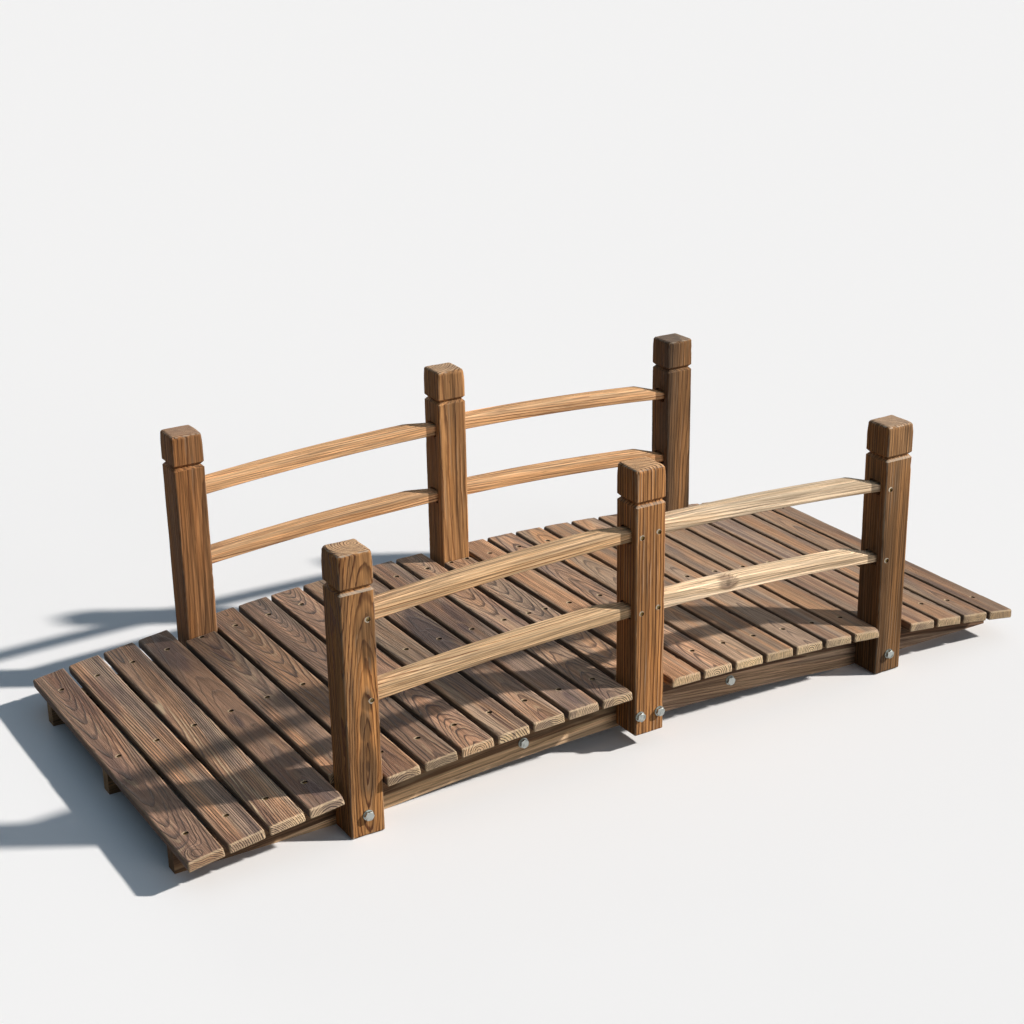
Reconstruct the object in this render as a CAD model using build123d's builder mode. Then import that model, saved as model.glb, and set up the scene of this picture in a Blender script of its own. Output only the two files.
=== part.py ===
from build123d import *

import os
from math import cos, sin, sqrt

# Arched wooden garden footbridge, in millimetres.
# X runs along the bridge, Y across it, Z is up, and Z = 0 is the ground under its feet.
# The front railing is on the -Y side. The origin is under the crown, midway between the railings.

# Arch and deck
arch_radius = 4900.0          # curve of the deck's top
deck_width = 670.0            # length of a full board
board_width = 54.0
board_thickness = 15.0
board_gap = 7.5
middle_gap_extra = 3.0        # added to the gap on each side of the middle board
bay_board_count = 7           # full boards between two posts
outside_board_count = 4       # full boards past each end post
board_arris = 2.6             # eased edges all round a board's top

# Screw recesses in the deck
screw_recess_radius = 4.2
screw_recess_depth = 2.8
screw_row_inset = 8.0         # from the outer face of a side beam
twin_screw_half = 16.0        # the two screws of each row in the middle board
recess_sides = 10             # small round recesses have few sides, because there are many

# Posts
post_size = 53.5
post_length = 436.0
post_below_deck = 85.0        # from the deck's top down to a post's foot
post_arris = 2.0
post_recess = 9.0             # from the boards' ends back to the posts' outer faces
post_board_clearance = 1.5    # between an end post and the nearest full board of the bay
cap_height = 54.5             # from the middle of the groove to the post's top
groove_depth = 5.0
groove_half_height = 5.0
groove_arris = 1.0            # cut corners at the bottom of the groove
cap_edge_drop = 4.0           # height of the rounded edge of the cap
cap_edge_inset = 3.0
cap_edge_steps = 3

# Side and middle beams
beam_thickness = 22.0
beam_depth = 75.0
beam_joint_gap = 0.4          # where the two halves of a beam meet
beam_end_inset = 3.0          # from the last board's edge back to the beam's end

# Cross members under the deck
cross_x = 196.5
cross_width = 40.0
cross_height = 45.0
cross_bolt_below_deck = 65.0
notch_clearance = 0.2

# Rails
rail_thickness = 28.0
rail_height = 23.0
rail_arris = 1.5
upper_rail_height = 246.5     # rail's middle above the deck's top
lower_rail_height = 123.4
tenon_length = 21.0
rail_fall_length = 52.0       # how far from the post a rail's top starts to fall
left_bay_fall = 7.0           # how much lower a rail's top is at its right-hand end
right_bay_fall = 12.0

# Mortises in the posts
mortise_depth = 22.0
mortise_side_clearance = 0.2
mortise_height_clearance = 5.0
mortise_corner_radius = 6.0

# Fasteners' holes
bolt_hole_radius = 4.25
post_bolt_below_deck = 51.5
middle_post_bolt_half = 18.0
cross_bolt_depth = 45.0
rail_screw_from_face = 11.5   # from the post's side face to the screw that pins the tenon
rail_screw_radius = 3.6
rail_screw_recess = 5.0

# Seats
seat_gap = 0.1                # between pieces that rest on or against each other

# Places that follow from the sizes above
board_pitch = board_width + board_gap
post_number = bay_board_count + 1
last_number = post_number + outside_board_count
post_y = deck_width / 2 - post_recess - post_size / 2
post_inner_y = post_y - post_size / 2
short_board_length = 2 * (post_inner_y - seat_gap)
beam_y = post_inner_y - seat_gap - beam_thickness / 2
screw_row_y = beam_y + beam_thickness / 2 - screw_row_inset
mortise_width = rail_thickness + 2 * mortise_side_clearance


def board_angle(number):
    """Angle of a board from the crown, as seen from the arch's centre."""
    if number == 0:
        return 0.0
    side = 1 if number > 0 else -1
    return side * (abs(number) * board_pitch + middle_gap_extra) / arch_radius


def board_edge_x(number):
    """Distance from the crown to a board's outer top edge."""
    angle = board_angle(number)
    return arch_radius * sin(angle) + board_width / 2 * cos(angle)


end_post_x = board_edge_x(bay_board_count) + post_board_clearance + post_size / 2
end_post_drop = arch_radius - sqrt(arch_radius**2 - end_post_x**2)
crown_z = post_below_deck + end_post_drop
arch_centre_z = crown_z - arch_radius
beam_top_radius = arch_radius - board_thickness - seat_gap
beam_bottom_radius = beam_top_radius - beam_depth
beam_end_x = board_edge_x(last_number) - beam_end_inset
foot_start_x = sqrt(beam_bottom_radius**2 - arch_centre_z**2)

post_places = {"left": -end_post_x, "middle": 0.0, "right": end_post_x}
row_places = {"front": -1, "back": 1}
bay_falls = {"left": left_bay_fall, "right": right_bay_fall}
level_heights = {"upper": upper_rail_height, "lower": lower_rail_height}
beam_rows = {"front": -beam_y, "middle": 0.0, "back": beam_y}


def arc_z(radius, x):
    """Height at x of an arc about the arch's centre."""
    return arch_centre_z + sqrt(radius**2 - x**2)


def arc_point(radius, x):
    return (x, arc_z(radius, x))


def arch_arc(radius, x_from, x_to):
    """Arc about the arch's centre, in a sketch line."""
    middle = (x_from + x_to) / 2
    return ThreePointArc(arc_point(radius, x_from), arc_point(radius, middle), arc_point(radius, x_to))


def upright_plane(y):
    """Sketch plane whose X is the bridge's X and whose Y is up, facing the front."""
    return Plane(origin=(0, y, 0), x_dir=(1, 0, 0), z_dir=(0, -1, 0))


class RailEnds:
    """Where a rail starts and stops, and how high it is in its two mortises."""

    def __init__(self, bay, level):
        inner = post_size / 2
        outer = end_post_x - post_size / 2
        left, right = (inner, outer) if bay == "right" else (-outer, -inner)
        middle_radius = arch_radius + level_heights[level]
        self.face_left = left
        self.face_right = right
        self.left = left - tenon_length
        self.right = right + tenon_length
        self.top_radius = middle_radius + rail_height / 2
        self.bottom_radius = middle_radius - rail_height / 2
        self.fall_start = right - rail_fall_length
        self.fall = bay_falls[bay]
        self.end_top = arc_z(self.top_radius, right) - self.fall
        self.screw_left = left - rail_screw_from_face
        self.screw_right = right + rail_screw_from_face

    def left_span(self):
        """Lowest and highest point of the whole left-hand tenon."""
        bottom = min(arc_z(self.bottom_radius, x) for x in (self.left, self.face_left))
        top = max(arc_z(self.top_radius, x) for x in (self.left, self.face_left))
        return bottom, top

    def right_span(self):
        """Lowest and highest point of the right-hand tenon, whose top is cut level."""
        bottom = min(arc_z(self.bottom_radius, x) for x in (self.right, self.face_right))
        return bottom, self.end_top


def make_board(number):
    angle = board_angle(number)
    top_centre = (arch_radius * sin(angle), 0, arch_centre_z + arch_radius * cos(angle))
    along = (cos(angle), 0, -sin(angle))
    is_short = number % post_number == 0
    length = short_board_length if is_short else deck_width
    profile_plane = Plane(origin=top_centre, x_dir=along, z_dir=(0, -1, 0))
    top_plane = Plane(origin=top_centre, x_dir=along, z_dir=(sin(angle), 0, cos(angle)))
    screw_offsets = (-twin_screw_half, twin_screw_half) if number == 0 else (0.0,)
    with BuildPart() as board:
        with BuildSketch(profile_plane):
            Rectangle(board_width, board_thickness, align=(Align.CENTER, Align.MAX))
        extrude(amount=length / 2, both=True)
        top_face = board.faces().sort_by(Axis(top_centre, top_plane.z_dir))[-1]
        chamfer(top_face.edges(), length=board_arris)
        with BuildSketch(top_plane):
            for offset_x in screw_offsets:
                with Locations((offset_x, -screw_row_y), (offset_x, 0), (offset_x, screw_row_y)):
                    RegularPolygon(screw_recess_radius, recess_sides)
        extrude(amount=-screw_recess_depth, mode=Mode.SUBTRACT)
    return board


def side_face_plane(post_x, row, side):
    """Sketch plane on a post's side face, whose X is the bridge's Y and whose Y is up."""
    return Plane(origin=(post_x + side * post_size / 2, row * post_y, 0), x_dir=(0, 1, 0), z_dir=(1, 0, 0))


def rail_ends_at(post_name):
    """Each rail end that a post holds, with the side of the post that it enters."""
    held = []
    for level in level_heights:
        if post_name != "left":
            held.append((RailEnds("left" if post_name == "middle" else "right", level), -1))
        if post_name != "right":
            held.append((RailEnds("right" if post_name == "middle" else "left", level), 1))
    return held


def post_section(plane, side, corner):
    """Square sketch with cut corners, for one level of a post."""
    with BuildSketch(plane) as section:
        Rectangle(side, side)
        chamfer(section.vertices(), length=corner)
    return section.sketch


def make_post(post_name, row):
    x = post_places[post_name]
    bottom = arc_z(arch_radius, x) - post_below_deck
    top = bottom + post_length
    groove = top - cap_height
    waist = post_size - 2 * groove_depth
    outer_face = row * (post_y + post_size / 2)
    bolt_z = arc_z(arch_radius, x) - post_bolt_below_deck
    bolt_offsets = (-middle_post_bolt_half, middle_post_bolt_half) if post_name == "middle" else (0.0,)
    centre = Plane(origin=(x, row * post_y, 0), x_dir=(1, 0, 0), z_dir=(0, 0, 1))
    levels = [
        (bottom, post_size, post_arris),
        (groove - groove_half_height, post_size, post_arris),
        (groove, waist, groove_arris),
        (groove + groove_half_height, post_size, post_arris),
    ]
    for step in range(cap_edge_steps + 1):
        share = step / cap_edge_steps
        side = post_size - 2 * cap_edge_inset * (1 - sqrt(1 - share**2))
        levels.append((top - cap_edge_drop * (1 - share), side, post_arris))
    with BuildPart() as post:
        for low_level, high_level in zip(levels, levels[1:]):
            low_section = post_section(centre.offset(low_level[0]), *low_level[1:])
            high_section = post_section(centre.offset(high_level[0]), *high_level[1:])
            loft(sections=[low_section, high_section], ruled=True)
        for ends, side in rail_ends_at(post_name):
            low, high = ends.right_span() if side < 0 else ends.left_span()
            mortise_height = high - low + 2 * mortise_height_clearance
            with BuildSketch(side_face_plane(x, row, side)):
                with Locations((0, (low + high) / 2)):
                    RectangleRounded(mortise_width, mortise_height, mortise_corner_radius)
            extrude(amount=-side * mortise_depth, mode=Mode.SUBTRACT)
        screw_plane = upright_plane(outer_face)
        with BuildSketch(screw_plane):
            for ends, side in rail_ends_at(post_name):
                screw_x = ends.screw_right if side < 0 else ends.screw_left
                low, high = ends.right_span() if side < 0 else ends.left_span()
                with Locations((screw_x, (low + high) / 2)):
                    RegularPolygon(rail_screw_radius, recess_sides)
        extrude(amount=row * rail_screw_recess, mode=Mode.SUBTRACT)
        with BuildSketch(screw_plane):
            with Locations(*[(x + offset_x, bolt_z) for offset_x in bolt_offsets]):
                Circle(bolt_hole_radius)
        extrude(amount=row * post_size, mode=Mode.SUBTRACT)
    return post


def make_rail(bay, level, row):
    ends = RailEnds(bay, level)
    plane = upright_plane(row * post_y)
    with BuildPart() as rail:
        with BuildSketch(plane):
            with BuildLine():
                arch_arc(ends.bottom_radius, ends.left, ends.right)
                Line(arc_point(ends.bottom_radius, ends.right), arc_point(ends.top_radius, ends.right))
                arch_arc(ends.top_radius, ends.right, ends.left)
                Line(arc_point(ends.top_radius, ends.left), arc_point(ends.bottom_radius, ends.left))
            make_face()
        extrude(amount=rail_thickness / 2, both=True)
        arrises = rail.edges().filter_by(lambda edge: edge.length > rail_thickness)
        chamfer(arrises, length=rail_arris)
        with BuildSketch(plane):
            with BuildLine():
                Polyline(
                    arc_point(ends.top_radius, ends.fall_start),
                    (ends.face_right, ends.end_top),
                    (ends.right, ends.end_top),
                    (ends.right, ends.end_top + rail_height),
                    (ends.fall_start, ends.end_top + rail_height),
                    close=True,
                )
            make_face()
        extrude(amount=rail_thickness, both=True, mode=Mode.SUBTRACT)
    return rail


def make_beam(beam_row, side):
    y = beam_rows[beam_row]
    start = side * beam_joint_gap / 2
    end = side * beam_end_x
    foot = side * foot_start_x
    cross_z = arc_z(arch_radius, cross_x) - cross_bolt_below_deck
    notch_top = cross_z + cross_height / 2 + seat_gap
    with BuildPart() as beam:
        with BuildSketch(upright_plane(y)):
            with BuildLine():
                arch_arc(beam_top_radius, start, end)
                Polyline(arc_point(beam_top_radius, end), (end, 0), (foot, 0))
                arch_arc(beam_bottom_radius, foot, start)
                Line(arc_point(beam_bottom_radius, start), arc_point(beam_top_radius, start))
            make_face()
            if beam_row == "middle":
                with Locations((side * cross_x, notch_top)):
                    Rectangle(
                        cross_width + 2 * notch_clearance,
                        notch_top,
                        align=(Align.CENTER, Align.MAX),
                        mode=Mode.SUBTRACT,
                    )
            else:
                post_bolts = [(side * middle_post_bolt_half, crown_z - post_bolt_below_deck)]
                post_bolts.append((side * end_post_x, arc_z(arch_radius, end_post_x) - post_bolt_below_deck))
                with Locations((side * cross_x, cross_z), *post_bolts):
                    Circle(bolt_hole_radius, mode=Mode.SUBTRACT)
        extrude(amount=beam_thickness / 2, both=True)
    return beam


def make_cross_member(side):
    z = arc_z(arch_radius, cross_x) - cross_bolt_below_deck
    half_length = beam_y - beam_thickness / 2 - seat_gap
    with BuildPart() as member:
        with BuildSketch(upright_plane(0)):
            with Locations((side * cross_x, z)):
                Rectangle(cross_width, cross_height)
        extrude(amount=half_length, both=True)
        for row in row_places.values():
            with BuildSketch(upright_plane(row * half_length)):
                with Locations((side * cross_x, z)):
                    Circle(bolt_hole_radius)
            extrude(amount=row * cross_bolt_depth, mode=Mode.SUBTRACT)
    return member


pieces = {}
for number in range(-last_number, last_number + 1):
    pieces[f"deck_board_{number + last_number + 1:02d}"] = make_board(number)
for row_name, row in row_places.items():
    for post_name in post_places:
        pieces[f"post_{row_name}_{post_name}"] = make_post(post_name, row)
    for bay in bay_falls:
        for level in level_heights:
            pieces[f"rail_{row_name}_{bay}_{level}"] = make_rail(bay, level, row)
for beam_row in beam_rows:
    for side_name, side in (("left", -1), ("right", 1)):
        pieces[f"beam_{beam_row}_{side_name}"] = make_beam(beam_row, side)
for side_name, side in (("left", -1), ("right", 1)):
    pieces[f"cross_member_{side_name}"] = make_cross_member(side)

os.makedirs("parts", exist_ok=True)
for piece_name, piece in pieces.items():
    piece.part.label = piece_name
    export_step(piece.part, f"parts/{piece_name}.step")
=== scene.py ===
import math
from functools import partial, reduce

import bpy
from mathutils import Euler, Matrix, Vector


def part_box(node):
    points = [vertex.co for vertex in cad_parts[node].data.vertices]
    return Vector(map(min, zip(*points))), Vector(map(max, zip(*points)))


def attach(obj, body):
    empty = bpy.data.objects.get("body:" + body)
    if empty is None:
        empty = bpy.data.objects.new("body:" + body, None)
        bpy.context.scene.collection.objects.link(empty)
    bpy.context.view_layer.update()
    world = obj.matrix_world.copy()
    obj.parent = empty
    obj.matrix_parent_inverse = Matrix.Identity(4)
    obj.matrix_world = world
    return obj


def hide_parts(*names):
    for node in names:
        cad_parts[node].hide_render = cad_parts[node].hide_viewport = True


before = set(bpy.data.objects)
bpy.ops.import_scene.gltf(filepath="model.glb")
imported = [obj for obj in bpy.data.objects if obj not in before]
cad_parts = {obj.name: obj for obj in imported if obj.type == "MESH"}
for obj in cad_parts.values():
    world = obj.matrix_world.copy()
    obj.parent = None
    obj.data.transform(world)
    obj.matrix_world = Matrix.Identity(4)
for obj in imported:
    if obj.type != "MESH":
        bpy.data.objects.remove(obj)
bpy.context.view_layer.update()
print("frame loaded:", len(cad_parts), "nodes")

# The part's frame: X along the bridge, Y across it (front is -Y), Z up, metres
mm = 0.001
archRadius = 4.9
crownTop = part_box("deck_board_13")[1].z
archCentre = Vector((0, 0, crownTop - archRadius))
zero, one = (0.0,) * 3, (1.0,) * 3


def deckHeight(x):
    return archCentre.z + math.sqrt(archRadius**2 - x**2)


def nodesNamed(start):
    return [name for name in sorted(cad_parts) if name.startswith(start)]


def middleAndSize(node):
    low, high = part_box(node)
    return (low + high) / 2, high - low


def tint(red, green, blue):  # screen values from 0 to 255, turned into linear colour
    def linear(value):
        share = value / 255
        return share / 12.92 if share <= 0.04045 else ((share + 0.055) / 1.055) ** 2.4

    return (linear(red), linear(green), linear(blue), 1.0)


# Small helpers for node trees. A node made from sockets goes into the tree of those sockets.
def socketNamed(sockets, name):
    return next(socket for socket in sockets if socket.enabled and socket.name == name)


def treeOf(values):
    return next(value.id_data for value in values if isinstance(value, bpy.types.NodeSocket))


def feed(socket, value):
    if isinstance(value, bpy.types.NodeSocket):
        socket.id_data.links.new(value, socket)
    else:
        socket.default_value = value


def addNode(tree, kind, feeds=None, **settings):
    node = tree.nodes.new(kind)
    for setting, value in settings.items():
        setattr(node, setting, value)
    for name, value in (feeds or {}).items():
        feed(socketNamed(node.inputs, name), value)
    return node


def made(kind, feeds, **settings):
    return addNode(treeOf(feeds.values()), kind, feeds, **settings).outputs[0]


def useGroup(tree, group, feeds):
    return addNode(tree, "ShaderNodeGroup", feeds, node_tree=group).outputs


def isVector(value):
    return isinstance(value, tuple) or getattr(value, "type", "") in ("VECTOR", "RGBA")


def calc(operation, *values):  # on numbers, or on vectors once one of the values is a vector
    kind = "ShaderNodeVectorMath" if any(isVector(value) for value in values) else "ShaderNodeMath"
    node = addNode(treeOf(values), kind, operation=operation)
    for socket, value in zip(node.inputs, values):
        feed(socket, value)
    return next(socket for socket in node.outputs if socket.enabled)


plus, minus, times, divided = (partial(calc, name) for name in ("ADD", "SUBTRACT", "MULTIPLY", "DIVIDE"))
larger, smaller, absolute = (partial(calc, name) for name in ("MAXIMUM", "MINIMUM", "ABSOLUTE"))
timesPlus = partial(calc, "MULTIPLY_ADD")


def rest(value):  # what is missing to 1
    return minus(1.0, value)


def axesOf(vector):
    return addNode(vector.id_data, "ShaderNodeSeparateXYZ", {"Vector": vector}).outputs


def vectorOf(x=0.0, y=0.0, z=0.0):
    return made("ShaderNodeCombineXYZ", {"X": x, "Y": y, "Z": z})


def scaledBy(vector, factor):
    return made("ShaderNodeVectorMath", {"Vector": vector, "Scale": factor}, operation="SCALE")


def band(value, low, high):  # 0 below low, 1 above high, smooth between
    feeds = {"Value": value, "From Min": low, "From Max": high}
    return made("ShaderNodeMapRange", feeds, interpolation_type="SMOOTHSTEP")


def blend(share, first, second, blendType="MIX"):
    tree = treeOf((share, first, second))
    node = addNode(tree, "ShaderNodeMix", data_type="RGBA", blend_type=blendType)
    for number, value in ((0, share), (6, first), (7, second)):  # the sockets of a colour mix
        feed(node.inputs[number], value)
    return node.outputs[2]


def cloud(place, scale, seed, detail=2.0, colour=False):  # noise with cells of 1/scale along X, Y and Z
    feeds = {"Vector": times(place, scale), "W": seed, "Scale": 1.0, "Detail": detail}
    node = addNode(place.id_data, "ShaderNodeTexNoise", feeds, noise_dimensions="4D")
    return node.outputs["Color" if colour else "Fac"]


inputKinds = {float: "Float", int: "Int", bool: "Bool", tuple: "Vector", list: "Color"}
outputKinds = {"Colour": "Color", "Geometry": "Geometry"}  # all others are numbers


def newTree(name, kind, inputs, build):  # an input is its value, or the kind of its socket
    tree = bpy.data.node_groups.new(name, kind)
    for inputName, value in inputs.items():
        socketKind = value if isinstance(value, str) else inputKinds[type(value)]
        socket = tree.interface.new_socket(inputName, in_out="INPUT", socket_type="NodeSocket" + socketKind)
        if socketKind != value:
            socket.default_value = value
    results = build(tree, tree.nodes.new("NodeGroupInput").outputs)
    end = tree.nodes.new("NodeGroupOutput")
    for outputName, value in results.items():
        socketKind = outputKinds.get(outputName, "Float")
        tree.interface.new_socket(outputName, in_out="OUTPUT", socket_type="NodeSocket" + socketKind)
        feed(end.inputs[outputName], value)
    return tree


def newPattern(name, inputs, build):
    return newTree(name, "ShaderNodeTree", {"Place": zero, "Seed": 0.0, **inputs}, build)


def passOn(given, inputs):  # a pattern's own inputs, handed to a pattern inside it
    return {name: given[name] for name in ("Place", "Seed", *inputs)}


# Timber is one solid pattern: rings round a pith that runs along the piece, beside or under it.
# Place is X across the piece, Y along it and Z out of its face, in metres from the piece's middle.
ringInputs = {
    "Pith Across": 0.0,
    "Pith Depth": 0.04,
    "Lean Across": 0.0,
    "Lean Depth": 0.02,
    "Bow": 0.0,
    "Ring Width": 0.0028,
    "Waver": 0.003,
    "Tremble": 0.5,
    "Lift": 0.0,
}


def ringPattern(tree, given):
    place, seed = given["Place"], given["Seed"]
    x, y, z = axesOf(place)
    drift = minus(cloud(place, (11, 3.2, 11), seed, 1.5, True), (0.5,) * 3)
    drift = axesOf(scaledBy(drift, given["Waver"]))
    across = minus(minus(x, given["Pith Across"]), times(y, given["Lean Across"]))
    across = timesPlus(drift["X"], 2.0, across)
    deep = timesPlus(y, given["Lean Depth"], plus(z, given["Pith Depth"]))
    deep = minus(deep, times(times(y, y), given["Bow"]))
    deep = timesPlus(drift["Z"], 2.0, deep)
    reach = calc("SQRT", plus(calc("POWER", across, 2.0), calc("POWER", deep, 2.0)))
    ring = divided(plus(reach, given["Lift"]), given["Ring Width"])
    tremble = minus(cloud(place, (120, 26, 120), seed, 2.0), 0.5)
    ring = timesPlus(tremble, given["Tremble"], ring)
    spread = vectorOf(ring)
    uneven = minus(cloud(spread, (0.4, 1, 1), seed, 1.0), 0.5)
    ring = timesPlus(uneven, 1.6, ring)
    step = calc("FRACT", ring)
    faint = timesPlus(band(cloud(place, (60, 5, 60), plus(seed, 9.0), 1.0), 0.3, 0.6), 0.55, 0.45)
    # Pale lines just past each latewood line: worn ridge wood, and a painted glint where the raised ridges
    # would catch light
    bright = band(cloud(place, (80, 7, 80), plus(seed, 17.0), 2.0), 0.5, 0.66)
    ridge = rest(band(absolute(minus(step, 0.12)), 0.08, 0.2))
    number = plus(calc("FLOOR", ring), seed)
    tone = addNode(tree, "ShaderNodeTexWhiteNoise", {"W": number}, noise_dimensions="1D")
    return {
        "Latewood": reduce(times, (band(step, 0.55, 0.88), rest(band(step, 0.91, 1.0)), faint)),
        "Ridge": times(ridge, bright),
        "Ring Tone": tone.outputs["Value"],
        "Zone": cloud(spread, (0.16, 1, 1), plus(seed, 5.0), 1.0),
    }


def fibrePattern(tree, given):
    place, seed = given["Place"], given["Seed"]
    split = absolute(minus(cloud(place, (420, 7, 420), plus(seed, 3.7), 1.0), 0.5))
    return {
        "Fine": band(cloud(place, (950, 24, 950), seed, 2.0), 0.25, 0.75),
        "Streak": band(cloud(place, (480, 9, 480), seed, 1.0), 0.34, 0.66),
        "Broad": band(cloud(place, (200, 4, 200), seed, 1.0), 0.34, 0.66),
        "Check": rest(band(split, 0.0, 0.03)),
    }


def distanceFrom(given):  # from the centre of a mark, 1 at its reach
    away = minus(given["Place"], given["Centre"])
    return calc("LENGTH", divided(away, given["Reach"]))


def knotPattern(tree, given):
    distance = distanceFrom(given)
    bump = calc("EXPONENT", times(calc("POWER", distance, 2.0), -1.4))
    ragged = minus(cloud(given["Place"], (260, 90, 260), given["Seed"], 2.0), 0.5)
    core = rest(band(timesPlus(ragged, 0.5, distance), 0.25, 0.5))
    return {"Lift": times(bump, given["Lift"]), "Core": times(core, given["Core"])}


def patchPattern(tree, given):
    ragged = minus(cloud(given["Place"], (70, 9, 70), given["Seed"], 3.0), 0.5)
    return {"Mask": rest(band(timesPlus(ragged, 0.9, distanceFrom(given)), 0.55, 1.05))}


def scarPattern(tree, given):  # torn pale wood beside a screw, partly a painted highlight on one side, and painted shade on the wall of its recess
    ragged = cloud(given["Place"], (420, 260, 420), given["Seed"], 2.0)
    reach = times(given["Radius"], timesPlus(ragged, 0.9, 0.6))
    near = rest(band(divided(given["Distance"], reach), 0.85, 1.15))
    below = band(given["Depth"], 0.4 * mm, 1.1 * mm)
    inside = rest(band(given["Distance"], 6.2 * mm, 6.8 * mm))
    shallow = rest(band(given["Depth"], 6 * mm, 7 * mm))
    return {"Scar": times(near, rest(below)), "Pit": reduce(times, (inside, below, shallow))}


arrisInputs = {"Half Size": (0.02, 0.3, 0.01), "Bend": 0.0, "Wear Width": 0.003, "Side Wear": 0.35}


def arrisPattern(tree, given):
    x, y, z = axesOf(given["Place"])
    halfX, halfY, halfZ = axesOf(given["Half Size"])
    level = plus(z, times(times(y, y), given["Bend"]))
    across, along = minus(halfX, absolute(x)), minus(halfY, absolute(y))
    out = minus(halfZ, absolute(level))
    second = larger(smaller(across, along), smaller(larger(across, along), out))
    ragged = cloud(given["Place"], (150, 45, 150), given["Seed"], 3.0)
    width = times(given["Wear Width"], times(ragged, 2.0))
    wear = rest(band(divided(second, width), 0.35, 1.0))
    nearEnd = rest(band(along, 2 * mm, 7 * mm))
    return {"Wear": times(wear, larger(given["Side Wear"], nearEnd))}


ringsGroup = newPattern("annualRings", ringInputs, ringPattern)
fibreGroup = newPattern("woodFibre", {}, fibrePattern)
arrisGroup = newPattern("wornArris", arrisInputs, arrisPattern)
knotInputs = {"Centre": zero, "Reach": (0.01, 0.04, 1.0), "Lift": 0.006, "Core": 0.0}
knotGroup = newPattern("knot", knotInputs, knotPattern)
patchGroup = newPattern("patch", {"Centre": zero, "Reach": (0.02, 0.1, 1.0)}, patchPattern)
scarGroup = newPattern("screwScar", {"Distance": 1.0, "Radius": 0.0052, "Depth": 0.0}, scarPattern)

timberInputs = {
    **ringInputs,
    **arrisInputs,
    **dict.fromkeys(("Early", "Late", "Char", "Warm", "Worn", "End Colour"), [0.5, 0.4, 0.3, 1.0]),
    **dict.fromkeys(("Late Strength", "Char Amount", "Warm Amount", "Wear"), 0.5),
    **dict.fromkeys(("End", "Side", "Side Shade", "Knot", "Patch", "Scar", "Pit"), 0.0),
    "Ridge Strength": 0.3,
    "Grain": 1.0,
}


def timberPattern(tree, given):
    place, seed = given["Place"], given["Seed"]
    ring = useGroup(tree, ringsGroup, passOn(given, ringInputs))
    thread = useGroup(tree, fibreGroup, passOn(given, ()))
    late, zone = ring["Latewood"], ring["Zone"]
    colour = blend(times(late, given["Late Strength"]), given["Early"], given["Late"])

    # Broad warm and charred zones
    warmCloud = cloud(place, (34, 4, 34), plus(seed, 11.0), 2.5)
    warmMask = larger(band(warmCloud, 0.45, 0.62), band(zone, 0.52, 0.64))
    colour = blend(times(warmMask, given["Warm Amount"]), colour, given["Warm"], "MULTIPLY")
    charCloud = cloud(place, (26, 4, 26), plus(seed, 23.0), 3.0)
    charMask = larger(band(charCloud, 0.48, 0.64), rest(band(zone, 0.34, 0.46)))
    charMask = larger(times(charMask, given["Char Amount"]), given["Patch"])
    colour = blend(charMask, colour, given["Char"], "MULTIPLY")

    # Fine shades, each with its contrast and its level
    threads = (("Fine", 0.3, 0.85), ("Streak", 0.5, 0.75), ("Broad", 0.44, 0.78), ("Check", -0.35, 1.0))
    shade = reduce(times, [timesPlus(thread[name], contrast, level) for name, contrast, level in threads])
    shade = timesPlus(minus(shade, 0.85), given["Grain"], 0.85)
    ringShade = timesPlus(ring["Ring Tone"], 0.34, 0.83)
    # Side faces darker: a darker stain, and painted shade in the gaps between boards
    shade = reduce(times, (shade, ringShade, rest(times(given["Side"], given["Side Shade"]))))
    shades = made("ShaderNodeCombineColor", dict.fromkeys(("Red", "Green", "Blue"), shade))
    colour = blend(1.0, colour, shades, "MULTIPLY")
    # The ridge lines lighten toward the worn colour: worn ridges, and a painted glint
    colour = blend(times(ring["Ridge"], given["Ridge Strength"]), colour, given["Worn"])
    colour = blend(given["Knot"], colour, blend(0.75, colour, tint(44, 28, 20)))

    # End grain, worn arrises, screw marks and painted shade in screw recesses
    endTone = blend(times(band(late, 0.02, 0.4), 0.95), given["End Colour"], given["Late"])
    endTone = blend(charMask, endTone, given["Char"], "MULTIPLY")
    pores = band(cloud(place, (1100, 240, 1100), seed, 1.0), 0.56, 0.66)
    endTone = blend(times(pores, 0.3), endTone, tint(48, 32, 20))
    colour = blend(times(given["End"], 0.8), colour, endTone)
    arris = useGroup(tree, arrisGroup, passOn(given, arrisInputs))["Wear"]
    colour = blend(times(arris, given["Wear"]), colour, given["Worn"])
    # The pale ring round screws and the groove's upward side: torn or cut wood, and a painted highlight
    colour = blend(times(given["Scar"], 0.85), colour, given["Worn"])
    # painted shade on the walls of the screw recesses
    colour = blend(times(given["Pit"], 0.8), colour, tint(38, 26, 20))
    height = timesPlus(thread["Check"], -0.5, timesPlus(thread["Fine"], 0.3, late))
    return {
        "Colour": colour,
        "Roughness": timesPlus(thread["Fine"], 0.1, timesPlus(late, -0.14, 0.74)),
        "Height": minus(height, times(pores, given["End"])),
    }


timberGroup = newPattern("timber", timberInputs, timberPattern)
print("timber node groups built")

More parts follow.
